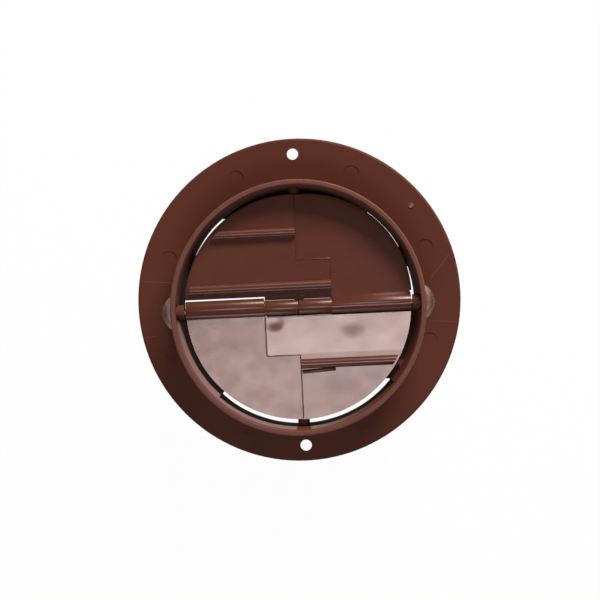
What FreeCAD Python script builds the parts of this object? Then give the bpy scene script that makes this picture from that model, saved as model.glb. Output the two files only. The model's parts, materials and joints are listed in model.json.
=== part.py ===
import FreeCAD
import Part

import math
import os

# Round louvred vent with a duct collar and a pair of butterfly flaps.
# Millimetres. The vent lies on its front face: +Z runs up the collar towards the duct.
# The origin is the centre of the front face, X runs along the flaps' hinge pin.
# The collar stands a little below the flange's middle. Its pieces are made round its own axis,
# and all are moved down together at the end.

# Collar, and the throat through it, an upright oval at the front and a circle at the rim
COLLAR_R = 50.0
COLLAR_H = 40.0
COLLAR_WALL = 2.0
FRONT_WALL_SIDES = 3.8
FRONT_WALL_ENDS = 2.2
RIM_ROUND = 0.5
THROAT_HALF_WIDTH = COLLAR_R - FRONT_WALL_SIDES
THROAT_HALF_HEIGHT = COLLAR_R - FRONT_WALL_ENDS
MID_WALL_R = COLLAR_R - COLLAR_WALL / 2
COLLAR_DROP = 2.55

# Flange: how far it, its screw holes and its ejector pin rounds lie out from the collar
FLANGE_LEDGE = 15.0
FLANGE_R = COLLAR_R + FLANGE_LEDGE
FLANGE_T = 2.4
FLANGE_EDGE_ROUND = 0.8
SCREW_HOLE_R = 2.3
SCREW_HOLE_OUT = 8.75
PAD_OUT = 5.0
PAD_R = 3.2
PAD_DEPTH = 0.2
PAD_ANGLES_DEG = (20.0, 65.0)

# Fixed louvre blades across the front of the throat, and the post that ties them
BLADE_COUNT = 4
LOUVRE_LOW_GAP = 16.75
LOUVRE_TOP_GAP = 3.05
BLADE_RISE = 8.6
BLADE_T = 1.8
BLADE_FRONT_Z = 0.4
BLADE_BACK_Z = 8.4
BLADE_EDGE_ROUND = 0.6
POST_W = 3.6
POST_DEPTH = 6.0

# Hinge pin, its seats in the collar and the caps on its ends
PIN_R = 1.2
PIN_BELOW_RIM = 5.6
PIN_Z = COLLAR_H - PIN_BELOW_RIM
PIN_STICK_OUT = 1.4
SEAT_R = 3.05
SEAT_DEPTH = 5.4
SEAT_FACE_X = COLLAR_R - SEAT_DEPTH
CAP_R = 6.3
CAP_RISE = 3.3
CAP_RIM_GAP = 0.3
CAP_ZONE_DEPTH = 5.0

# Flaps: two half discs, each with a barrel on half of the pin
FLAP_WALL_GAP = 4.0
FLAP_R = COLLAR_R - COLLAR_WALL - FLAP_WALL_GAP
FLAP_T = 1.4
FLAP_DROOP_DEG = 4.0
LEVEL_STEP = 0.8
BASE_TOP_Z = 0.4
RAISED_WIDTH_NEAR = 13.2
RAISED_DEPTH_NEAR = 18.6
UPPER_EDGE_Y = 4.7
LOWER_EDGE_Y = 3.5
LEVEL_LAP = 0.7
BARREL_R = 3.05
KNUCKLE_R = 2.85
KNUCKLE_GAP = 0.4
BARREL_BORE_GAP = 0.08
BARREL_END_GAP = 0.5
BARREL_MID_GAP = 0.15
BARREL_END_X = SEAT_FACE_X - BARREL_END_GAP
RIB_SINK = 0.35
RIB_EDGE_GAP = 0.9

# Ribs on a flap: distance from the pin, near end, far end and radius
UPPER_RIBS = [(8.3, RAISED_WIDTH_NEAR, -FLAP_R, 2.0), (29.6, 0.0, -FLAP_R, 1.8)]
LOWER_RIBS = [(22.2, 0.0, -FLAP_R, 1.8)]

# Stop pegs under the free edges of the flaps
PEG_R = 2.3
PEG_REACH = 2.2
PEG_GAP = 0.3
PEG_NOSE_ROUND = 1.15

# Tapered catch on the wall, beside the end of the lower flap's rib
CATCH_ANGLE_DEG = -31.0
CATCH_FLAP_GAP = 0.5
CATCH_ROOT_W = 6.0
CATCH_NOSE_W = 1.4
CATCH_BELOW_PIN = 1.2
CATCH_H = 5.0
CATCH_FOOT_DEPTH = 1.6

X_AXIS = FreeCAD.Vector(1, 0, 0)
Y_AXIS = FreeCAD.Vector(0, 1, 0)
Z_AXIS = FreeCAD.Vector(0, 0, 1)
OVERCUT = 1.0
TOUCH = 0.01


def rod(radius, x_from, x_to, y, z):
    """A round rod along X."""
    return Part.makeCylinder(radius, x_to - x_from, FreeCAD.Vector(x_from, y, z), X_AXIS)


def block(x_from, x_to, y_from, y_to, z_from, z_to):
    """A box between two corners."""
    corner = FreeCAD.Vector(x_from, y_from, z_from)
    return Part.makeBox(x_to - x_from, y_to - y_from, z_to - z_from, corner)


def throat():
    """The air way through the collar: an upright oval at the front, a circle at the rim."""
    front = FreeCAD.Vector(0, 0, -OVERCUT)
    rim = FreeCAD.Vector(0, 0, COLLAR_H + OVERCUT)
    oval = Part.Ellipse(
        front + Y_AXIS * THROAT_HALF_HEIGHT, front - X_AXIS * THROAT_HALF_WIDTH, front
    )
    circle = Part.makeCircle(COLLAR_R - COLLAR_WALL, rim, Z_AXIS)
    circle.rotate(rim, Z_AXIS, 90)
    return Part.makeLoft([Part.Wire([oval.toShape()]), Part.Wire([circle])], True, True)


def make_flange():
    """The flat ring with its screw holes and the shallow rounds left by the ejector pins."""
    flange = Part.makeCylinder(FLANGE_R, FLANGE_T, Y_AXIS * COLLAR_DROP)
    rims = [edge for edge in flange.Edges if edge.Closed]
    flange = flange.makeFillet(FLANGE_EDGE_ROUND, rims)
    cuts = []
    for side in (-1, 1):
        hole_y = COLLAR_DROP + side * (COLLAR_R + SCREW_HOLE_OUT)
        foot = FreeCAD.Vector(0, hole_y, -OVERCUT)
        cuts.append(Part.makeCylinder(SCREW_HOLE_R, FLANGE_T + 2 * OVERCUT, foot))
    for angle in PAD_ANGLES_DEG:
        for turn in (angle, 180.0 - angle, 180.0 + angle, -angle):
            place = FreeCAD.Vector(COLLAR_R + PAD_OUT, 0, FLANGE_T - PAD_DEPTH)
            pad = Part.makeCylinder(PAD_R, OVERCUT, place)
            pad.rotate(FreeCAD.Vector(0, 0, 0), Z_AXIS, turn)
            pad.translate(Y_AXIS * COLLAR_DROP)
            cuts.append(pad)
    return flange.cut(cuts)


def make_collar():
    """The round wall that stands on the flange, with a rounded rim."""
    collar = Part.makeCylinder(COLLAR_R, COLLAR_H)
    collar = collar.cut(throat())
    rim_edges = [edge for edge in collar.Edges if edge.BoundBox.ZMin > COLLAR_H - TOUCH]
    return collar.makeFillet(RIM_ROUND, rim_edges)


def make_blade(y_low, reach):
    """One louvre blade, leaning back and up from its front edge, cut to the throat.

    The reach is its length as a share of a common blade's.
    """
    lean = math.atan2(BLADE_BACK_Z - BLADE_FRONT_Z, BLADE_RISE)
    chord_y = BLADE_RISE * reach - BLADE_T * math.sin(lean)
    chord_z = (BLADE_BACK_Z - BLADE_FRONT_Z) * reach - BLADE_T * math.cos(lean)
    across = FreeCAD.Vector(0, -math.sin(lean), math.cos(lean)) * BLADE_T
    front = FreeCAD.Vector(-COLLAR_R, y_low + BLADE_T * math.sin(lean), BLADE_FRONT_Z)
    back = front + FreeCAD.Vector(0, chord_y, chord_z)
    outline = Part.makePolygon([front, back, back + across, front + across, front])
    blade = Part.Face(outline).extrude(X_AXIS * 2 * COLLAR_R)
    long_edges = [edge for edge in blade.Edges if edge.Length > COLLAR_R]
    blade = blade.makeFillet(BLADE_EDGE_ROUND, long_edges)
    return blade.common(Part.makeCylinder(MID_WALL_R, COLLAR_H))


def make_louvre():
    """All the blades and the post across their middle. The top blade runs back to the wall."""
    lowest = LOUVRE_LOW_GAP - THROAT_HALF_HEIGHT
    highest = THROAT_HALF_HEIGHT - LOUVRE_TOP_GAP - BLADE_RISE
    pitch = (highest - lowest) / (BLADE_COUNT - 1)
    blades = [make_blade(lowest + index * pitch, 1.0) for index in range(BLADE_COUNT - 1)]
    blades.append(make_blade(highest, (COLLAR_R - highest) / BLADE_RISE))
    post = block(
        -POST_W / 2, POST_W / 2, -COLLAR_R, COLLAR_R, BLADE_FRONT_Z, BLADE_FRONT_Z + POST_DEPTH
    )
    post = post.common(Part.makeCylinder(MID_WALL_R, COLLAR_H))
    return blades + [post]


def make_seats():
    """The two round seats inside the collar that hold the pin."""
    return [
        rod(SEAT_R, SEAT_FACE_X, MID_WALL_R, 0, PIN_Z),
        rod(SEAT_R, -MID_WALL_R, -SEAT_FACE_X, 0, PIN_Z),
    ]


def make_pegs():
    """The stop pegs on the wall, just under the free edge of each closed flap."""
    droop = math.radians(FLAP_DROOP_DEG)
    under_face = BASE_TOP_Z - FLAP_T
    edge_z = PIN_Z - FLAP_R * math.sin(droop) + under_face * math.cos(droop)
    tip_y = FLAP_R * math.cos(droop) - PEG_REACH
    centre_z = edge_z - PEG_GAP - PEG_R
    length = MID_WALL_R - tip_y
    pegs = []
    for side in (-1, 1):
        peg = Part.makeCylinder(
            PEG_R, length, FreeCAD.Vector(0, side * tip_y, centre_z), Y_AXIS * side
        )
        nose = [edge for edge in peg.Edges if edge.Closed and abs(edge.CenterOfMass.y) < tip_y + TOUCH]
        pegs.append(peg.makeFillet(PEG_NOSE_ROUND, nose))
    return pegs


def catch_outline(nose_r, nose_w, z):
    """The catch seen from above, at one height: a wedge that narrows from the wall to its nose."""
    corners = [(nose_r, -nose_w), (MID_WALL_R, -CATCH_ROOT_W), (MID_WALL_R, CATCH_ROOT_W), (nose_r, nose_w)]
    points = [FreeCAD.Vector(r, width / 2, z) for r, width in corners]
    return Part.makePolygon(points + points[:1])


def make_catch():
    """The tapered catch, whose foot runs back down into the wall."""
    top_z = PIN_Z - CATCH_BELOW_PIN
    foot = catch_outline(MID_WALL_R - CATCH_FOOT_DEPTH, CATCH_ROOT_W - CATCH_NOSE_W, top_z - CATCH_H)
    top = catch_outline(FLAP_R + CATCH_FLAP_GAP, CATCH_NOSE_W, top_z)
    catch = Part.makeLoft([foot, top], True, True)
    catch.rotate(FreeCAD.Vector(0, 0, 0), Z_AXIS, CATCH_ANGLE_DEG)
    return catch


def make_vent_body():
    """Flange, collar, louvre, pin seats, pegs and catch: one moulding."""
    flange = make_flange().cut(throat())
    body = flange.fuse([make_collar()] + make_louvre() + make_seats() + make_pegs() + [make_catch()])
    body = body.cut(rod(PIN_R, -COLLAR_R - OVERCUT, COLLAR_R + OVERCUT, 0, PIN_Z))
    return body.Solids[0]


def make_pin():
    """The straight pin through both barrels and both seats."""
    end_x = COLLAR_R + PIN_STICK_OUT
    return rod(PIN_R, -end_x, end_x, 0, PIN_Z)


def make_cap(side):
    """The domed cap over one end of the pin, shaped to the collar's outside."""
    sphere_r = (CAP_R ** 2 + CAP_RISE ** 2) / (2 * CAP_RISE)
    centre_x = side * (COLLAR_R + CAP_RISE - sphere_r)
    dome = Part.makeSphere(sphere_r, FreeCAD.Vector(centre_x, 0, PIN_Z))
    reach = COLLAR_R + CAP_RISE
    ends = sorted([side * (COLLAR_R - CAP_ZONE_DEPTH), side * reach])
    zone = block(ends[0], ends[1], -CAP_R, CAP_R, PIN_Z - CAP_R, COLLAR_H - CAP_RIM_GAP)
    cap = dome.common(zone)
    cap = cap.cut(Part.makeCylinder(COLLAR_R, COLLAR_H + OVERCUT))
    return cap.cut(make_pin())


def level_plate(z_low, z_high, zones):
    """A plate of the half disc's outline, kept where the zones (x and y ranges) cover it."""
    disc = Part.makeCylinder(FLAP_R, z_high - z_low, FreeCAD.Vector(0, 0, z_low))
    parts = []
    for x_from, x_to, y_from, y_to in zones:
        parts.append(disc.common(block(x_from, x_to, y_from, y_to, z_low, z_high)))
    return parts


def make_flap(ribs, raised_edge_y):
    """One flap, flat on the pin: a plate on two levels, a barrel on half of the pin, and ribs.

    The barrel's half is the low level and lies at +X. The free half is the raised level. It
    carries the ribs, and runs past the middle near the pin, where the step between them jogs.
    A low lip closes the gap between the raised level and the knuckles.
    """
    base_low = BASE_TOP_Z - FLAP_T
    raised_low = base_low + LEVEL_STEP
    raised_top = BASE_TOP_Z + LEVEL_STEP
    lip_y = KNUCKLE_R + KNUCKLE_GAP
    base = level_plate(base_low, BASE_TOP_Z, [
        (RAISED_WIDTH_NEAR - LEVEL_LAP, BARREL_END_X, 0, RAISED_DEPTH_NEAR),
        (-LEVEL_LAP, FLAP_R, RAISED_DEPTH_NEAR - LEVEL_LAP, FLAP_R),
        (BARREL_MID_GAP - RAISED_WIDTH_NEAR, RAISED_WIDTH_NEAR, lip_y, raised_edge_y + LEVEL_LAP),
    ])
    raised = level_plate(raised_low, raised_top, [
        (-FLAP_R, RAISED_WIDTH_NEAR, raised_edge_y, RAISED_DEPTH_NEAR),
        (-FLAP_R, 0, raised_edge_y, FLAP_R),
    ])
    barrel = rod(BARREL_R, RAISED_WIDTH_NEAR, BARREL_END_X, 0, 0)
    knuckle = rod(KNUCKLE_R, BARREL_MID_GAP, RAISED_WIDTH_NEAR, 0, 0)
    bars = []
    inside = Part.makeCylinder(
        FLAP_R - RIB_EDGE_GAP, FLAP_R, FreeCAD.Vector(0, 0, raised_top - LEVEL_STEP)
    )
    for y, near_x, far_x, radius in ribs:
        bar = rod(radius, far_x, near_x, y, raised_top + radius * RIB_SINK)
        bars.append(bar.common(inside))
    flap = base[0].fuse(base[1:] + raised + bars + [barrel, knuckle])
    flap = flap.cut(rod(PIN_R + BARREL_BORE_GAP, 0, BARREL_END_X + OVERCUT, 0, 0))
    return flap.removeSplitter()


def hang_flap(flap, half_turn):
    """A flap on the pin, drooping onto its peg; a half turn puts it on the other side."""
    placed = flap.copy()
    placed.rotate(FreeCAD.Vector(0, 0, 0), X_AXIS, -FLAP_DROOP_DEG)
    if half_turn:
        placed.rotate(FreeCAD.Vector(0, 0, 0), Z_AXIS, 180)
    placed.translate(Z_AXIS * PIN_Z)
    return placed


def main():
    """Build every piece and write one STEP file for each."""
    os.makedirs("parts", exist_ok=True)
    pieces = {
        "vent_body": make_vent_body(),
        "upper_flap": hang_flap(make_flap(UPPER_RIBS, UPPER_EDGE_Y), False),
        "lower_flap": hang_flap(make_flap(LOWER_RIBS, LOWER_EDGE_Y), True),
        "hinge_pin": make_pin(),
        "left_pin_cap": make_cap(-1),
        "right_pin_cap": make_cap(1),
    }
    for name, shape in pieces.items():
        shape.translate(Y_AXIS * -COLLAR_DROP)
        shape.exportStep(os.path.join("parts", name + ".step"))
        print(name, len(shape.Solids), shape.isValid(), round(shape.Volume, 1))


main()
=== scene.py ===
"""Looks of the marine vent: finishes, small moulding details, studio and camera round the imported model.

Metres, in the model's own frame: the vent lies on its front face with its collar up, X along the
hinge pin and +Y towards the upper flap.
"""

import json
import logging
import math
from collections.abc import Callable, Mapping
from dataclasses import dataclass
from enum import Enum
from typing import Any

import bmesh
import bpy
from mathutils import Matrix, Vector


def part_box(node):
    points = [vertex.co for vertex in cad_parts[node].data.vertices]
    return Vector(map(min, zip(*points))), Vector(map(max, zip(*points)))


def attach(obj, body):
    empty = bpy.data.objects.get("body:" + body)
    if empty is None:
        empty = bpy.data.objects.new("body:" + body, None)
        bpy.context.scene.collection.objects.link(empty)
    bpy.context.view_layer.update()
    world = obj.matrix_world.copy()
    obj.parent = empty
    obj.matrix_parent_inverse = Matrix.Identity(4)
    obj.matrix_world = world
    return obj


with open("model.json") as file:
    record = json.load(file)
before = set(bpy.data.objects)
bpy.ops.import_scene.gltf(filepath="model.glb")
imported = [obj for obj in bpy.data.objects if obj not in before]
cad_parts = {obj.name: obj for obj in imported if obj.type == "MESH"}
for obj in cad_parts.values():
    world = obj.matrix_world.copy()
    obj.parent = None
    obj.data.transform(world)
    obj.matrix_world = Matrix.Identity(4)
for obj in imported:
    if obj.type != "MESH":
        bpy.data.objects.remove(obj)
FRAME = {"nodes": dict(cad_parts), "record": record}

LOG = logging.getLogger("vent")
MM = 0.001

# Sockets of a Mix node that mixes colours
MIX_A = 6
MIX_B = 7
MIX_RESULT = 2

# A face whose normal has more of Z than this lies flat
FLAT = 0.9
# A point has to pass a limit by this much to count as past it
SLACK = 0.1 * MM
# An edge that turns by more than this is rounded, or shaded as a corner
SHARP_DEG = 35

Colour = tuple[float, float, float]
Point = tuple[float, float, float]
Spot = tuple[float, float]
Size = tuple[float, float]
Port = str | int


class Body(Enum):
    """The bodies of the model that pieces ride on."""

    VENT = "vent"
    UPPER = "upper_flap"
    LOWER = "lower_flap"


class Slot(Enum):
    """The material slots of the model's record that the pieces take their finish from."""

    BODY = "body_plastic"
    FLAP = "flap_plastic"


class Wire:
    """An output socket on which plain arithmetic adds Math nodes."""

    def __init__(self, graph: "Graph", socket: bpy.types.NodeSocket | None) -> None:
        """Keep the socket and its graph.

        Args:
            graph: The graph that the socket belongs to.
            socket: The output socket, or None for a node that has none.
        """
        self.graph = graph
        self.socket = socket

    def __add__(self, other: "Wire | float") -> "Wire":
        """Sum."""
        return self.graph.maths("ADD", self, other)

    __radd__ = __add__

    def __sub__(self, other: "Wire | float") -> "Wire":
        """Difference."""
        return self.graph.maths("SUBTRACT", self, other)

    def __rsub__(self, other: float) -> "Wire":
        """Difference from a number."""
        return self.graph.maths("SUBTRACT", other, self)

    def __mul__(self, other: "Wire | float") -> "Wire":
        """Product."""
        return self.graph.maths("MULTIPLY", self, other)

    __rmul__ = __mul__

    def __abs__(self) -> "Wire":
        """Size without its sign."""
        return self.graph.maths("ABSOLUTE", self, 0.0)


class Graph:
    """A material's or world's node tree."""

    def __init__(self, owner: bpy.types.Material | bpy.types.World) -> None:
        """Empty the owner's tree and start a new one.

        Args:
            owner: The material or world.
        """
        owner.use_nodes = True
        self.tree = owner.node_tree
        self.tree.nodes.clear()

    def node(
        self, kind: str, settings: Mapping[str, Any], sockets: Mapping[Port, Any], output: Port = 0
    ) -> Wire:
        """Add any node.

        Args:
            kind: The node's type.
            settings: Its own settings, which are set first.
            sockets: Values or wires for its inputs, by name or number.
            output: The output wanted, by name or number.

        Returns:
            That output.
        """
        made = self.tree.nodes.new(kind)
        for name, value in settings.items():
            setattr(made, name, value)
        for name, value in sockets.items():
            if isinstance(value, Wire):
                self.tree.links.new(value.socket, made.inputs[name])
            else:
                made.inputs[name].default_value = value
        outlet = made.outputs[output] if made.outputs else None
        return Wire(self, outlet)

    def maths(self, operation: str, first: Wire | float, second: Wire | float) -> Wire:
        """A Math node of two values."""
        return self.node("ShaderNodeMath", {"operation": operation}, {0: first, 1: second})

    def place(self) -> Wire:
        """Object coordinates."""
        return self.node("ShaderNodeTexCoord", {}, {}, "Object")

    def ray(self, kind: str) -> Wire:
        """1 for rays of a kind, such as "Is Camera Ray", and 0 for the others."""
        return self.node("ShaderNodeLightPath", {}, {}, kind)

    def axes(self, vector: Wire) -> tuple[Wire, Wire, Wire]:
        """Split a vector.

        Args:
            vector: The vector.

        Returns:
            Its X, Y and Z.
        """
        split = self.node("ShaderNodeSeparateXYZ", {}, {0: vector}).socket.node
        return Wire(self, split.outputs[0]), Wire(self, split.outputs[1]), Wire(self, split.outputs[2])

    def noise(self, place: Wire, size: float, detail: float = 3.0) -> Wire:
        """Soft noise from 0 to 1 whose lumps are about size metres."""
        sockets = {"Vector": place, "Scale": 1.0 / size, "Detail": detail}
        return self.node("ShaderNodeTexNoise", {}, sockets)

    def length(self, across: Wire, along: Wire) -> Wire:
        """Distance from the origin of a point in a plane."""
        return self.maths("SQRT", across * across + along * along, 0.0)

    def ramp(self, value: Wire, low: float, high: float) -> Wire:
        """0 at low, 1 at high and smooth between them; low may be the larger of the two."""
        sockets = {"Value": value, "From Min": low, "From Max": high}
        return self.node("ShaderNodeMapRange", {"interpolation_type": "SMOOTHSTEP"}, sockets)

    def mix(self, share: Wire, first: Wire | Colour, second: Wire | Colour) -> Wire:
        """Mix a colour from two.

        Args:
            share: How much of the second there is.
            first: The first colour.
            second: The second colour.

        Returns:
            The mixed colour.
        """
        ends = [end if isinstance(end, Wire) else (*end, 1.0) for end in (first, second)]
        sockets = {0: share, MIX_A: ends[0], MIX_B: ends[1]}
        return self.node("ShaderNodeMix", {"data_type": "RGBA"}, sockets, MIX_RESULT)

    def bump(self, height: Wire) -> Wire:
        """A normal from a height in metres."""
        return self.node("ShaderNodeBump", {}, {"Height": height, "Distance": 1.0})

    def surface(self, sockets: Mapping[Port, Any]) -> None:
        """End the graph with the principled shader."""
        shader = self.node("ShaderNodeBsdfPrincipled", {}, sockets)
        self.node("ShaderNodeOutputMaterial", {}, {"Surface": shader})


@dataclass(frozen=True)
class FlowLine:
    """A fine straight line, raised a little, where two flows of the hot plastic met."""

    start: Spot
    end: Spot
    width: float = 0.22 * MM
    height: float = 0.02 * MM
    pale: float = 0.35
    core_share: float = 0.3
    full_share: float = 0.8

    def mask(self, graph: Graph, x: Wire, y: Wire) -> Wire:
        """Draw the line with soft edges and ends.

        Args:
            graph: The finish's graph.
            x: The X coordinate.
            y: The Y coordinate.

        Returns:
            1 on the line and 0 away from it.
        """
        length = math.dist(self.start, self.end)
        along_x = (self.end[0] - self.start[0]) / length
        along_y = (self.end[1] - self.start[1]) / length
        run = (x - self.start[0]) * along_x + (y - self.start[1]) * along_y
        off = abs((x - self.start[0]) * -along_y + (y - self.start[1]) * along_x)
        inside = graph.ramp(off, self.width, self.width * self.core_share)
        past_middle = abs(run - length / 2)
        return inside * graph.ramp(past_middle, length / 2, length / 2 * self.full_share)


@dataclass(frozen=True)
class SinkMark:
    """A shallow round dip where the plastic shrank over a thick place behind it."""

    spot: Spot
    reach: float
    slope: float

    def depth(self, graph: Graph, x: Wire, y: Wire) -> Wire:
        """How deep the dip is at each point, in metres."""
        away = graph.length(x - self.spot[0], y - self.spot[1])
        return graph.ramp(away, self.reach, 0.0) * (self.slope * self.reach)


@dataclass(frozen=True)
class WallPaintedReflection:
    """Painted reflection: a pale colour on the inside of the collar's wall, beside the lower flap, standing
    in for the wall's reflection of the floor.
    """

    share: float = 0.7
    colour: Colour = (0.30, 0.185, 0.168)
    centre: Spot = (0.0, -2.55 * MM)
    inner_r: float = 48.7 * MM
    r_fade: float = 0.3 * MM
    from_y: float = -3.2 * MM
    full_y: float = -4.6 * MM
    from_x: float = 34.0 * MM
    full_x: float = -4.0 * MM
    low_z: float = 9.0 * MM
    low_full_z: float = 16.0 * MM
    high_z: float = 39.2 * MM
    high_full_z: float = 38.0 * MM
    peg_half: float = 2.4 * MM
    peg_clear: float = 3.2 * MM

    def mask(self, graph: Graph, x: Wire, y: Wire, z: Wire) -> Wire:
        """Where the painted reflection lies: on the wall below the pin's line, but not on the stop peg.

        Args:
            graph: The finish's graph.
            x: The X coordinate.
            y: The Y coordinate.
            z: The Z coordinate.

        Returns:
            The share of the painted reflection's colour.
        """
        aside = x - self.centre[0]
        along = y - self.centre[1]
        inside = graph.ramp(graph.length(aside, along), self.inner_r, self.inner_r - self.r_fade)
        low_left = graph.ramp(along, self.from_y, self.full_y) * graph.ramp(aside, self.from_x, self.full_x)
        raised = graph.ramp(z, self.low_z, self.low_full_z) * graph.ramp(z, self.high_z, self.high_full_z)
        off_peg = graph.ramp(abs(aside), self.peg_half, self.peg_clear)
        return inside * low_left * raised * off_peg * self.share


@dataclass(frozen=True)
class RimPaintedHighlight:
    """Painted highlight: a paler colour round the top of the collar's rim, where its rounded edge catches
    the light.
    """

    share: float = 0.55
    colour: Colour = (0.20, 0.085, 0.064)
    from_z: float = 39.1 * MM
    full_z: float = 39.7 * MM
    evenness: float = 0.5

    def mask(self, graph: Graph, z: Wire, cloud: Wire) -> Wire:
        """The share of the paler colour, by height and cloudy noise."""
        return graph.ramp(z, self.from_z, self.full_z) * (cloud + self.evenness) * self.share


@dataclass(frozen=True)
class PolishedPanel:
    """A panel that came out of a smoother part of the mould; it lies above and right of its corner."""

    gloss: float = 0.05
    corner: Spot = (-13.2 * MM, -21.2 * MM)
    fade: float = 0.8 * MM

    def mask(self, graph: Graph, x: Wire, y: Wire) -> Wire:
        """Say how much smoother each point is.

        Args:
            graph: The finish's graph.
            x: The X coordinate.
            y: The Y coordinate.

        Returns:
            What comes off the roughness.
        """
        wide = graph.ramp(x, self.corner[0], self.corner[0] + self.fade)
        deep = graph.ramp(y, self.corner[1], self.corner[1] + self.fade)
        return wide * deep * self.gloss


@dataclass(frozen=True)
class MouldedPlastic:
    """Brown moulded plastic: spark-eroded grain, slow waves, cloudy gloss and fine dust."""

    name: str
    colour: Colour = (0.098, 0.0262, 0.0148)
    warm_colour: Colour = (0.112, 0.0282, 0.0150)
    warm_from: float = 0.35
    warm_full: float = 0.7
    dust_colour: Colour = (0.20, 0.105, 0.085)
    dust: float = 0.05
    speck_grains: float = 2.2
    speck_from: float = 0.62
    speck_full: float = 0.75
    roughness: float = 0.50
    cloud: float = 0.10
    cloud_middle: float = 0.7
    grain_gloss: float = 0.5
    grain_size: float = 0.35 * MM
    grain_depth: float = 0.0035 * MM
    wave_size: float = 14.0 * MM
    wave_depth: float = 0.02 * MM
    broad_waves: float = 2.0
    cloud_waves: float = 0.6
    cloud_depth: float = 0.3
    specular: float = 0.14
    sheen_tint: Colour = (1.0, 0.79, 0.76)
    flow_lines: tuple[FlowLine, ...] = ()
    sinks: tuple[SinkMark, ...] = ()
    # A painted reflection on the collar's inner wall, if any
    painted_wall_reflection: WallPaintedReflection | None = None
    # A painted highlight round the top of the rim, if any
    painted_rim_highlight: RimPaintedHighlight | None = None
    polish: PolishedPanel | None = None

    def paint(self) -> bpy.types.Material:
        """The finish as a material.

        Returns:
            A new material.
        """
        material = bpy.data.materials.new(self.name)
        graph = Graph(material)
        place = graph.place()
        x, y, z = graph.axes(place)
        broad = graph.noise(place, self.wave_size * self.broad_waves)
        cloud = graph.noise(place, self.wave_size * self.cloud_waves, detail=5.0)
        grain = graph.noise(place, self.grain_size, detail=2.0)
        specks = graph.noise(place, self.grain_size * self.speck_grains, detail=1.0)
        slow = broad * self.wave_depth + cloud * (self.wave_depth * self.cloud_depth)
        height = slow + grain * self.grain_depth
        dusty = graph.ramp(specks, self.speck_from, self.speck_full) * self.dust
        for line in self.flow_lines:
            mask = line.mask(graph, x, y)
            height = height + mask * line.height
            dusty = dusty + mask * line.pale
        for sink in self.sinks:
            height = height - sink.depth(graph, x, y)
        warm = graph.ramp(broad, self.warm_from, self.warm_full)
        tone = graph.mix(dusty, graph.mix(warm, self.colour, self.warm_colour), self.dust_colour)
        # Painted reflection: pale colour on the inner wall beside the lower flap
        if self.painted_wall_reflection:
            tone = graph.mix(self.painted_wall_reflection.mask(graph, x, y, z), tone, self.painted_wall_reflection.colour)
        # Painted highlight: paler colour on the top of the rim
        if self.painted_rim_highlight:
            tone = graph.mix(self.painted_rim_highlight.mask(graph, z, cloud), tone, self.painted_rim_highlight.colour)
        uneven = cloud * self.cloud + grain * (self.cloud * self.grain_gloss)
        rough = uneven + (self.roughness - self.cloud * self.cloud_middle)
        if self.polish:
            rough = rough - self.polish.mask(graph, x, y)
        graph.surface(
            {
                "Base Color": tone,
                "Roughness": rough,
                "Specular IOR Level": self.specular,
                "Specular Tint": (*self.sheen_tint, 1.0),
                "Normal": graph.bump(height),
            }
        )
        return material


@dataclass(frozen=True)
class CloudyPlastic:
    """Milky plastic of the pin caps: paler at the rim, where it is seen edge on."""

    name: str
    middle: Colour = (0.12, 0.046, 0.028)
    rim: Colour = (0.27, 0.155, 0.115)
    middle_alpha: float = 0.45
    rim_alpha: float = 0.8
    rim_from: float = 3.6 * MM
    rim_to: float = 6.2 * MM
    roughness: float = 0.32
    specular: float = 0.22
    cloud_size: float = 1.6 * MM
    cloud_gloss: float = 0.16
    cloud_depth: float = 0.02 * MM

    def paint(self, centre_y: float, centre_z: float) -> bpy.types.Material:
        """The finish as a material.

        Args:
            centre_y: Y of the caps' middle.
            centre_z: Height of the caps' middle.

        Returns:
            A new material.
        """
        material = bpy.data.materials.new(self.name)
        graph = Graph(material)
        place = graph.place()
        _, y, z = graph.axes(place)
        share = graph.ramp(graph.length(y - centre_y, z - centre_z), self.rim_from, self.rim_to)
        cloud = graph.noise(place, self.cloud_size, detail=4.0)
        graph.surface(
            {
                "Base Color": graph.mix(share, self.middle, self.rim),
                "Alpha": share * (self.rim_alpha - self.middle_alpha) + self.middle_alpha,
                "Roughness": cloud * self.cloud_gloss + (self.roughness - self.cloud_gloss / 2),
                "Specular IOR Level": self.specular,
                "Normal": graph.bump(cloud * self.cloud_depth),
            }
        )
        return material


@dataclass(frozen=True)
class DrawnSteel:
    """Dull grey drawn steel with fine lines along X."""

    name: str
    colour: Colour = (0.25, 0.235, 0.225)
    dark_share: float = 0.8
    roughness: float = 0.38
    uneven: float = 0.2
    line_size: float = 0.12 * MM
    line_stretch: float = 0.03
    line_depth: float = 0.004 * MM

    def paint(self) -> bpy.types.Material:
        """The finish as a material.

        Returns:
            A new material.
        """
        material = bpy.data.materials.new(self.name)
        graph = Graph(material)
        stretch = {"Vector": graph.place(), "Scale": (self.line_stretch, 1.0, 1.0)}
        drawn = graph.noise(graph.node("ShaderNodeMapping", {}, stretch), self.line_size)
        dark = tuple(self.dark_share * part for part in self.colour)
        graph.surface(
            {
                "Base Color": graph.mix(drawn, self.colour, dark),
                "Metallic": 1.0,
                "Roughness": drawn * self.uneven + (self.roughness - self.uneven / 2),
                "Normal": graph.bump(drawn * self.line_depth),
            }
        )
        return material


def deselect() -> None:
    """Clear the selection."""
    bpy.ops.object.select_all(action="DESELECT")


def freeze_place() -> None:
    """Move the active object's place, turn and scale into its mesh."""
    bpy.ops.object.transform_apply(location=True, rotation=True, scale=True)


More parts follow.
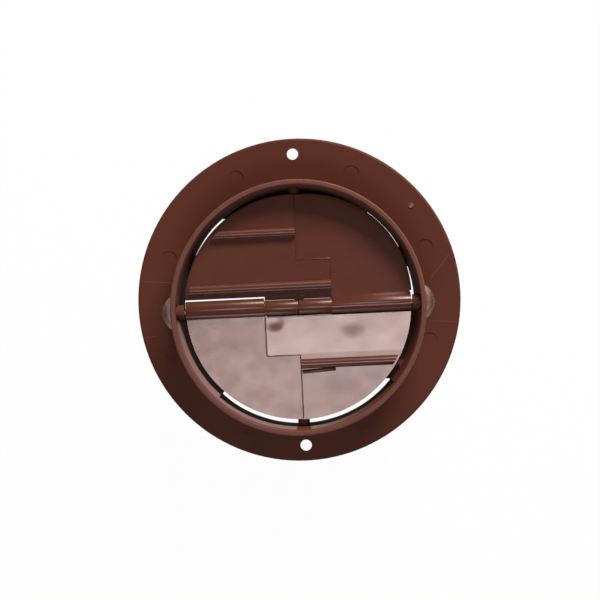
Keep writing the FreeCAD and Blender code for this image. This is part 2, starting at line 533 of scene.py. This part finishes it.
def named(name: str, material: bpy.types.Material, body: Body) -> bpy.types.Object:
    """Settle the active object: freeze its place, name it, dress it and let it ride.

    Args:
        name: The piece's name.
        material: Its finish.
        body: The body that it moves with.

    Returns:
        The piece.
    """
    piece = bpy.context.active_object
    freeze_place()
    piece.name = name
    piece.data.name = name
    piece.data.materials.clear()
    piece.data.materials.append(material)
    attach(piece, body.value)
    deselect()
    return piece


def apply_modifiers(piece: bpy.types.Object) -> None:
    """Apply all of a piece's modifiers, first to last."""
    for name in [modifier.name for modifier in piece.modifiers]:
        bpy.ops.object.modifier_apply(modifier=name)


def select_faces(wanted: Callable[[bmesh.types.BMFace], bool]) -> None:
    """Select the faces of the mesh in edit mode that a test wants.

    Args:
        wanted: Takes a face and says whether it is wanted.
    """
    bpy.ops.mesh.select_mode(type="FACE")
    bpy.ops.mesh.select_all(action="DESELECT")
    mesh = bpy.context.edit_object.data
    edit = bmesh.from_edit_mesh(mesh)
    for face in edit.faces:
        face.select = wanted(face)
    edit.select_flush_mode()
    bmesh.update_edit_mesh(mesh)


def select_points(wanted: Callable[[Vector], bool]) -> None:
    """Select the points of the mesh in edit mode that a test wants.

    Args:
        wanted: Takes a point's place and says whether it is wanted.
    """
    bpy.ops.mesh.select_mode(type="VERT")
    bpy.ops.mesh.select_all(action="DESELECT")
    mesh = bpy.context.edit_object.data
    edit = bmesh.from_edit_mesh(mesh)
    for point in edit.verts:
        point.select = wanted(point.co)
    edit.select_flush_mode()
    bmesh.update_edit_mesh(mesh)


def cut_away(normal: Point, through: Point = (0, 0, 0)) -> None:
    """Cut the mesh in edit mode by a plane, close it, and drop the side that the plane faces.

    Args:
        normal: The plane's normal.
        through: A point on the plane.
    """
    bpy.ops.mesh.select_all(action="SELECT")
    bpy.ops.mesh.bisect(plane_co=through, plane_no=normal, use_fill=True, clear_outer=True)


def pierce(band: float) -> None:
    """Turn the solid disc in edit mode into a ring.

    Args:
        band: The ring's width.
    """
    select_faces(lambda face: abs(face.normal.z) > FLAT)
    bpy.ops.mesh.inset(thickness=band)
    bpy.ops.mesh.bridge_edge_loops()


def leave_edit_mode() -> None:
    """Point all faces outwards and go back to object mode."""
    bpy.ops.mesh.select_all(action="SELECT")
    bpy.ops.mesh.normals_make_consistent(inside=False)
    bpy.ops.object.mode_set(mode="OBJECT")


def soften(width: float, segments: int = 3) -> None:
    """Round the active piece's sharp edges and shade it.

    Args:
        width: The bevel's width.
        segments: How many faces make up the rounding.
    """
    piece = bpy.context.active_object
    bevel = piece.modifiers.new("round", "BEVEL")
    bevel.width = width
    bevel.segments = segments
    bevel.limit_method = "ANGLE"
    bevel.angle_limit = math.radians(SHARP_DEG)
    apply_modifiers(piece)
    bpy.ops.object.shade_smooth_by_angle(angle=math.radians(SHARP_DEG))


@dataclass
class GateNub:
    """The torn stub that the moulding's feed left on the flange: a low crater with a bright lip."""

    spot: Spot
    flange_top: float
    radius: float = 1.15 * MM
    height: float = 0.55 * MM
    sunk: float = 0.1 * MM
    lip: float = 0.3 * MM
    crater: float = 0.45 * MM
    lean: Spot = (0.15 * MM, -0.1 * MM)
    boss_share: float = 0.6
    ragged: float = 0.12 * MM
    seed: int = 3
    sides: int = 18
    rounds: int = 2

    def build(self, material: bpy.types.Material) -> bpy.types.Object:
        """Model the stub.

        Args:
            material: Its finish.

        Returns:
            The piece.
        """
        deselect()
        centre_z = self.flange_top + self.height / 2 - self.sunk
        bpy.ops.mesh.primitive_cylinder_add(
            vertices=self.sides, radius=self.radius, depth=self.height, location=(*self.spot, centre_z)
        )
        freeze_place()
        bpy.ops.object.mode_set(mode="EDIT")
        select_faces(lambda face: face.normal.z > FLAT)
        bpy.ops.mesh.inset(thickness=self.lip)
        bpy.ops.transform.translate(value=(*self.lean, -self.crater))
        bpy.ops.mesh.inset(thickness=self.lip)
        bpy.ops.transform.translate(value=(0, 0, self.crater * self.boss_share))
        bpy.ops.mesh.select_all(action="SELECT")
        bpy.ops.transform.vertex_random(offset=self.ragged, seed=self.seed)
        bpy.ops.object.mode_set(mode="OBJECT")
        piece = bpy.context.active_object
        subdivide = piece.modifiers.new("round", "SUBSURF")
        subdivide.levels = self.rounds
        subdivide.render_levels = self.rounds
        apply_modifiers(piece)
        bpy.ops.object.shade_smooth()
        return named("gate_nub", material, Body.VENT)


@dataclass
class WallLiner:
    """A stretch of the collar's tapered inner wall, as thick as it is beside the lower flap.

    It rises straight from low_z to sill_z, and then widens to waist_z and again to top_z.
    """

    name: str
    from_deg: float
    to_deg: float
    outer_r: float = 48.4 * MM
    sill_r: float = 43.4 * MM
    waist_r: float = 45.0 * MM
    top_r: float = 47.5 * MM
    low_z: float = 9.0 * MM
    sill_z: float = 20.0 * MM
    waist_z: float = 27.0 * MM
    top_z: float = 38.6 * MM
    rounding: float = 0.3 * MM
    sides: int = 180

    def build(self, material: bpy.types.Material, pin: Vector) -> bpy.types.Object:
        """Model the liner.

        Args:
            material: Its finish.
            pin: The middle of the hinge pin.

        Returns:
            The piece.
        """
        deselect()
        bpy.ops.mesh.primitive_cylinder_add(
            vertices=self.sides,
            radius=self.outer_r,
            depth=self.sill_z - self.low_z,
            location=(0, 0, (self.sill_z + self.low_z) / 2),
        )
        freeze_place()
        bpy.ops.object.mode_set(mode="EDIT")
        pierce(self.outer_r - self.sill_r)
        start = math.radians(self.from_deg)
        stop = math.radians(self.to_deg)
        cut_away((math.sin(start), -math.cos(start), 0))
        cut_away((-math.sin(stop), math.cos(stop), 0))
        self.raise_wall(self.sill_r, self.sill_z, self.waist_r, self.waist_z)
        self.raise_wall(self.waist_r, self.waist_z, self.top_r, self.top_z)
        leave_edit_mode()
        soften(self.rounding)
        bpy.context.active_object.location = (0, pin.y, 0)
        return named(self.name, material, Body.VENT)

    def raise_wall(self, from_r: float, from_z: float, to_r: float, to_z: float) -> None:
        """Extrude the wall's top upwards and move its inner edge to a new radius.

        Args:
            from_r: The inner radius so far.
            from_z: The height so far.
            to_r: The new inner radius.
            to_z: The new height.
        """
        select_faces(lambda face: face.normal.z > FLAT)
        bpy.ops.mesh.extrude_region_move(TRANSFORM_OT_translate={"value": (0, 0, to_z - from_z)})
        middle_r = (from_r + self.outer_r) / 2
        select_points(lambda at: at.z > to_z - SLACK and at.xy.length < middle_r)
        grow = to_r / from_r
        bpy.ops.transform.resize(value=(grow, grow, 1), center_override=(0, 0, 0))


@dataclass
class SlimLiner(WallLiner):
    """A thinner stretch of the same wall, at the throat's top and bottom."""

    sill_r: float = 46.4 * MM
    waist_r: float = 46.6 * MM
    low_z: float = 13.0 * MM


@dataclass
class FlapTrim:
    """What stands on one flap: its fuller edge, the sleeve on its barrel, and beads on its steps.

    Places are in the flap's own frame: X along the pin towards its barrel, Y out from the pin
    and Z up, as if it lay flat. The lower flap is the upper one's pattern turned by half a turn.
    """

    body: Body
    pin: Vector
    half_turn: bool
    droop_deg: float = 4.0
    flap_r: float = 44.0 * MM
    base_top: float = 0.4 * MM
    level_step: float = 0.8 * MM
    plate: float = 1.4 * MM
    jog_x: float = 13.2 * MM
    jog_y: float = 18.6 * MM
    edge_y: float = 4.7 * MM
    edge_reach: float = 44.5 * MM
    edge_band: float = 4.2 * MM
    edge_margin: float = 0.06 * MM
    edge_rounding: float = 0.25 * MM
    edge_sides: int = 144
    bead_r: float = 0.24 * MM
    bead_sunk: float = 0.3
    bead_rounding: float = 0.3
    bead_end_gap: float = 0.3 * MM
    bead_sides: int = 12
    barrel_end: float = 44.05 * MM
    sleeve_r: float = 3.25 * MM
    sleeve_shift: float = 0.85 * MM
    sleeve_flat: float = 3.2 * MM
    sleeve_sides: int = 64
    knuckle_r: float = 2.99 * MM
    knuckle_shift: float = 0.12 * MM
    groove: float = 0.10 * MM
    ridge_start: Spot = (-0.4 * MM, 25.3 * MM)
    ridge_end: Spot = (-13.5 * MM, 24.6 * MM)
    ridge_rise: float = 0.15 * MM
    ridge_r: float = 0.75 * MM
    ridge_rounding: float = 0.3 * MM
    ridge_sides: int = 24

    def settle(self, name: str, material: bpy.types.Material) -> bpy.types.Object:
        """Hang the active object on the pin as the flap hangs, and name it.

        Args:
            name: The piece's name.
            material: Its finish.

        Returns:
            The piece.
        """
        piece = bpy.context.active_object
        freeze_place()
        turn = Matrix.Rotation(math.radians(-self.droop_deg), 4, "X")
        if self.half_turn:
            turn = Matrix.Rotation(math.pi, 4, "Z") @ turn
        piece.matrix_world = Matrix.Translation(self.pin) @ turn
        return named(name, material, self.body)

    def rod(self, start: Point, end: Point, radius: float, rounding: float, sides: int) -> bpy.types.Object:
        """Add a round bar between two points.

        Args:
            start: The middle of one end.
            end: The middle of the other end.
            radius: Its radius.
            rounding: The bevel of its ends.
            sides: Its number of sides.

        Returns:
            The bar.
        """
        run = Vector(end) - Vector(start)
        bpy.ops.mesh.primitive_cylinder_add(
            vertices=sides,
            radius=radius,
            depth=run.length,
            location=(Vector(start) + Vector(end)) / 2,
            rotation=run.to_track_quat("Z", "X").to_euler(),
        )
        freeze_place()
        soften(rounding)
        return bpy.context.active_object

    def join(self, bars: list[bpy.types.Object]) -> None:
        """Join bars to one object, which is then the active one.

        Args:
            bars: The bars.
        """
        deselect()
        for bar in bars:
            bar.select_set(True)
        bpy.context.view_layer.objects.active = bars[0]
        bpy.ops.object.join()

    def beads(self, name: str, material: bpy.types.Material) -> bpy.types.Object:
        """Model the raised line of flash along the step between the flap's two levels.

        Args:
            name: The piece's name.
            material: Its finish.

        Returns:
            The piece.
        """
        deselect()
        height = self.base_top + self.level_step - self.bead_r * self.bead_sunk
        rounding = self.bead_r * self.bead_rounding
        corners = (
            (0.0, self.flap_r - self.bead_end_gap, height),
            (0.0, self.jog_y, height),
            (self.jog_x, self.jog_y, height),
            (self.jog_x, self.edge_y, height),
        )
        ends = zip(corners, corners[1:])
        self.join([self.rod(one, two, self.bead_r, rounding, self.bead_sides) for one, two in ends])
        return self.settle(name, material)

    def sleeve(self, name: str, material: bpy.types.Material) -> bpy.types.Object:
        """Model the fuller barrel: a knuckle part, a ring line and a thicker outer part.

        Both flaps' sleeves stand a little towards the upper flap. The upper flap's one is planed
        at 45 degrees, where the lower flap comes near it when both are open.

        Args:
            name: The piece's name.
            material: Its finish.

        Returns:
            The piece.
        """
        deselect()
        side = -1.0 if self.half_turn else 1.0
        shift = side * self.sleeve_shift
        slim_shift = side * self.knuckle_shift
        joint = self.jog_x
        ring_r = self.knuckle_r - self.groove
        self.join(
            [
                self.rod((low, middle, 0), (high, middle, 0), radius, self.groove, self.sleeve_sides)
                for low, high, middle, radius in (
                    (self.groove, joint - self.groove, slim_shift, self.knuckle_r),
                    (joint - 2 * self.groove, joint + 2 * self.groove, slim_shift, ring_r),
                    (joint + self.groove, self.barrel_end, shift, self.sleeve_r),
                )
            ]
        )
        if not self.half_turn:
            across = Vector((0, 1, 1)).normalized()
            bpy.ops.object.mode_set(mode="EDIT")
            cut_away(across, across * self.sleeve_flat)
            bpy.ops.object.mode_set(mode="OBJECT")
        return self.settle(name, material)

    def fuller_edge(
        self, name: str, material: bpy.types.Material, raised: bool, spread: float
    ) -> bpy.types.Object:
        """Model half of the moulded edge that stands out past the flap's round outline.

        Args:
            name: The piece's name.
            material: Its finish.
            raised: Whether it is the edge of the raised level.
            spread: How far its corner is pushed out along X and Y.

        Returns:
            The piece.
        """
        deselect()
        top = self.base_top - self.edge_margin + (self.level_step if raised else 0.0)
        depth = self.plate - 2 * self.edge_margin
        bpy.ops.mesh.primitive_cylinder_add(
            vertices=self.edge_sides,
            radius=self.edge_reach - spread,
            depth=depth,
            location=(0, 0, top - depth / 2),
        )
        freeze_place()
        bpy.ops.object.mode_set(mode="EDIT")
        for axis, side in ((0, 1), (0, -1), (1, 1)):
            select_points(lambda at: at[axis] * side > SLACK)
            move = [0.0, 0.0, 0.0]
            move[axis] = side * spread
            bpy.ops.transform.translate(value=move)
        pierce(self.edge_band)
        cut_away((1.0 if raised else -1.0, 0, 0))
        cut_away((0, -1, 0), (0, self.edge_y, 0))
        leave_edit_mode()
        soften(self.edge_rounding)
        return self.settle(name, material)

    def short_ridge(self, name: str, material: bpy.types.Material) -> bpy.types.Object:
        """Model the short low ridge just outside the flap's rib.

        Args:
            name: The piece's name.
            material: Its finish.

        Returns:
            The piece.
        """
        deselect()
        height = self.base_top + self.level_step + self.ridge_rise
        ends = (*self.ridge_start, height), (*self.ridge_end, height)
        self.rod(*ends, self.ridge_r, self.ridge_rounding, self.ridge_sides)
        return self.settle(name, material)


@dataclass(frozen=True)
class SoftBox:
    """A rectangular lamp that faces the vent; its power is in watts."""

    name: str
    place: Point
    size: Size
    power: float

    def build(self) -> None:
        """Put the lamp up."""
        data = bpy.data.lights.new(self.name, "AREA")
        data.shape = "RECTANGLE"
        data.size, data.size_y = self.size
        data.energy = self.power
        lamp = bpy.data.objects.new(self.name, data)
        bpy.context.scene.collection.objects.link(lamp)
        lamp.location = self.place
        lamp.rotation_euler = (-Vector(self.place)).to_track_quat("-Z", "Y").to_euler()


@dataclass
class Studio:
    """Floor, lamps, world and camera. The leans and the roll are in degrees."""

    floor_size: float = 9.0
    floor_drop: float = 0.3 * MM
    floor_colour: Colour = (0.9, 0.9, 0.9)
    white: Colour = (1.0, 1.0, 1.0)
    camera_share: float = 0.97
    gloss_share: float = 0.1
    world_colour: Colour = (1.0, 0.985, 0.97)
    world_strength: float = 0.11
    key: SoftBox = SoftBox("key_box", place=(0.46, 1.15, 0.62), size=(0.7, 0.4), power=26.0)
    gloss: SoftBox = SoftBox("gloss_box", place=(0.02, -0.25, 1.25), size=(0.36, 0.19), power=3.0)
    fill: SoftBox = SoftBox("fill_box", place=(-0.35, -1.35, 0.32), size=(0.9, 0.45), power=5.0)
    camera_distance: float = 1.10
    camera_lean_y: float = 0.68
    camera_lean_x: float = 0.8
    camera_roll: float = 2.7
    sensor: float = 36.0
    scale_px_per_mm: float = 2.4815
    frame_px: float = 600.0
    target: Point = (0.00028, -0.00011, 0.0024)
    clip_start: float = 0.01
    clip_end: float = 20.0

    def floor(self) -> None:
        """The pale floor that the vent lies on; the camera sees it near white, with a faint shadow."""
        deselect()
        bpy.ops.mesh.primitive_plane_add(size=self.floor_size, location=(0, 0, -self.floor_drop))
        plane = bpy.context.active_object
        plane.name = "floor"
        material = bpy.data.materials.new("floor_white")
        graph = Graph(material)
        reflected = graph.ray("Is Glossy Ray") + graph.ray("Is Transmission Ray")
        mirrored = graph.maths("MINIMUM", reflected, 1.0) * self.gloss_share
        shown = graph.maths("MAXIMUM", graph.ray("Is Camera Ray") * self.camera_share, mirrored)
        matt = graph.node("ShaderNodeBsdfDiffuse", {}, {"Color": (*self.floor_colour, 1.0)})
        white = graph.node("ShaderNodeEmission", {}, {"Color": (*self.white, 1.0), "Strength": 1.0})
        both = graph.node("ShaderNodeMixShader", {}, {0: shown, 1: matt, 2: white})
        graph.node("ShaderNodeOutputMaterial", {}, {"Surface": both})
        plane.data.materials.append(material)

    def world(self) -> None:
        """A plain dim world that fills the shadows; the camera sees it near white, as the floor."""
        world = bpy.data.worlds.new("studio")
        bpy.context.scene.world = world
        graph = Graph(world)
        strength = graph.ray("Is Camera Ray") * (1.0 - self.world_strength) + self.world_strength
        sky = {"Color": (*self.world_colour, 1.0), "Strength": strength}
        light = graph.node("ShaderNodeBackground", {}, sky)
        graph.node("ShaderNodeOutputWorld", {}, {"Surface": light})

    def camera(self) -> None:
        """The camera over the vent, a little towards the upper flap and turned as in the photograph."""
        data = bpy.data.cameras.new("camera")
        camera = bpy.data.objects.new("camera", data)
        bpy.context.scene.collection.objects.link(camera)
        lean_x = math.tan(math.radians(self.camera_lean_x))
        lean_y = math.tan(math.radians(self.camera_lean_y))
        out = Vector((lean_x, lean_y, 1.0)).normalized()
        roll = math.radians(self.camera_roll)
        up = Vector((math.sin(roll), math.cos(roll), 0.0))
        right = up.cross(out).normalized()
        turn = Matrix((right, out.cross(right), out)).transposed()
        place = Vector(self.target) + out * self.camera_distance
        camera.matrix_world = Matrix.Translation(place) @ turn.to_4x4()
        data.sensor_width = self.sensor
        data.lens = self.scale_px_per_mm * self.camera_distance / MM * self.sensor / self.frame_px
        data.clip_start = self.clip_start
        data.clip_end = self.clip_end
        bpy.context.scene.camera = camera

    def build(self) -> None:
        """Set the whole studio up."""
        self.floor()
        self.world()
        for lamp in (self.key, self.gloss, self.fill):
            lamp.build()
        self.camera()
        bpy.context.scene.view_settings.view_transform = "Standard"


@dataclass
class VentLooks:
    """The vent's own pieces: which finish each node wears, and the details that are added."""

    nodes: dict[str, bpy.types.Object]
    flange_mount: str = "wall_face"
    gate_spot: Spot = (46.8 * MM, 36.0 * MM)
    # Paler than the body: a painted glint on the torn gate stub
    gate_glint_colour: Colour = (0.20, 0.085, 0.066)
    flap_waves: float = 11.0 * MM
    lower_edge_y: float = 3.5 * MM
    flow_lines: tuple[FlowLine, ...] = (
        FlowLine(start=(-63.6 * MM, 10.3 * MM), end=(-50.0 * MM, 9.1 * MM)),
        FlowLine(start=(51.5 * MM, -10.9 * MM), end=(63.6 * MM, -11.8 * MM)),
        FlowLine(start=(-64.4 * MM, -12.4 * MM), end=(-57.5 * MM, -12.0 * MM)),
        FlowLine(start=(52.6 * MM, 5.5 * MM), end=(62.0 * MM, 16.6 * MM)),
    )
    sinks: tuple[SinkMark, ...] = (
        SinkMark(spot=(-9.6 * MM, -7.4 * MM), reach=5.0 * MM, slope=0.036),
        SinkMark(spot=(20.5 * MM, -8.6 * MM), reach=8.0 * MM, slope=0.022),
        SinkMark(spot=(16.0 * MM, -40.0 * MM), reach=12.0 * MM, slope=0.02),
    )

    def dress(self, node: str, material: bpy.types.Material) -> None:
        """Give a node of the model its finish.

        Args:
            node: The node's name.
            material: The finish.
        """
        mesh = self.nodes[node].data
        mesh.materials.clear()
        mesh.materials.append(material)
        LOG.info("dressed %s with %s", node, material.name)

    def build(self) -> list[bpy.types.Object]:
        """Dress the nodes and add the details.

        Returns:
            The added pieces, in the order of their making.
        """
        # The body's finish paints a reflection on the collar's inner wall
        body = MouldedPlastic(
            # The body's finish also paints a highlight round the top of the collar's rim
            "brown_body", flow_lines=self.flow_lines, painted_wall_reflection=WallPaintedReflection(), painted_rim_highlight=RimPaintedHighlight()
        ).paint()
        upper = MouldedPlastic(
            "upper_brown", roughness=0.28, wave_size=self.flap_waves, specular=0.42
        ).paint()
        lower = MouldedPlastic(
            "lower_brown",
            roughness=0.22,
            cloud=0.12,
            wave_size=self.flap_waves,
            wave_depth=0.05 * MM,
            specular=0.6,
            sinks=self.sinks,
            polish=PolishedPanel(),
        ).paint()
        pin_low, pin_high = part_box("hinge_pin")
        pin = (pin_low + pin_high) / 2
        cap = CloudyPlastic("cloudy_cap").paint(pin.y, pin.z)
        self.dress("vent_body", body)
        self.dress("upper_flap", upper)
        self.dress("lower_flap", lower)
        self.dress("hinge_pin", DrawnSteel("drawn_steel").paint())
        self.dress("left_pin_cap", cap)
        self.dress("right_pin_cap", cap)
        # The gate stub's paler colour is a painted glint
        gate = MouldedPlastic("torn_gate", colour=self.gate_glint_colour, roughness=0.3, specular=0.8).paint()
        above = FlapTrim(Body.UPPER, pin, half_turn=False)
        below = FlapTrim(Body.LOWER, pin, half_turn=True, edge_y=self.lower_edge_y)
        return [
            GateNub(self.gate_spot, mount_height(self.flange_mount)).build(gate),
            WallLiner("wall_liner_right", from_deg=-41.0, to_deg=-3.5).build(body, pin),
            WallLiner("wall_liner_left", from_deg=183.5, to_deg=226.0).build(body, pin),
            SlimLiner("wall_liner_low", from_deg=225.5, to_deg=319.5).build(body, pin),
            SlimLiner("wall_liner_top", from_deg=3.6, to_deg=176.4).build(body, pin),
            above.beads("upper_step_bead", upper),
            below.beads("lower_step_bead", lower),
            above.sleeve("upper_barrel_sleeve", upper),
            # The lower flap's barrel is as dull as the upper flap, unlike its plate
            below.sleeve("lower_barrel_sleeve", upper),
            above.fuller_edge("upper_edge_left", upper, raised=True, spread=1.1 * MM),
            above.fuller_edge("upper_edge_right", upper, raised=False, spread=3.5 * MM),
            below.short_ridge("lower_short_ridge", lower),
        ]


def mount_height(name: str) -> float:
    """Look up how high one of the record's mounts lies.

    Args:
        name: The mount's name.

    Returns:
        Its height in metres.
    """
    mounts = {mount["name"]: mount for mount in FRAME["record"]["mounts"]}
    return mounts[name]["pos_m"][2]


def main() -> None:
    """Build the looks in order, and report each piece."""
    logging.basicConfig(level=logging.INFO, format="%(name)s: %(message)s")
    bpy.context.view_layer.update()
    for piece in VentLooks(FRAME["nodes"]).build():
        LOG.info("built %s", piece.name)
    Studio().build()
    LOG.info("studio ready")


if __name__ == "__main__":
    main()
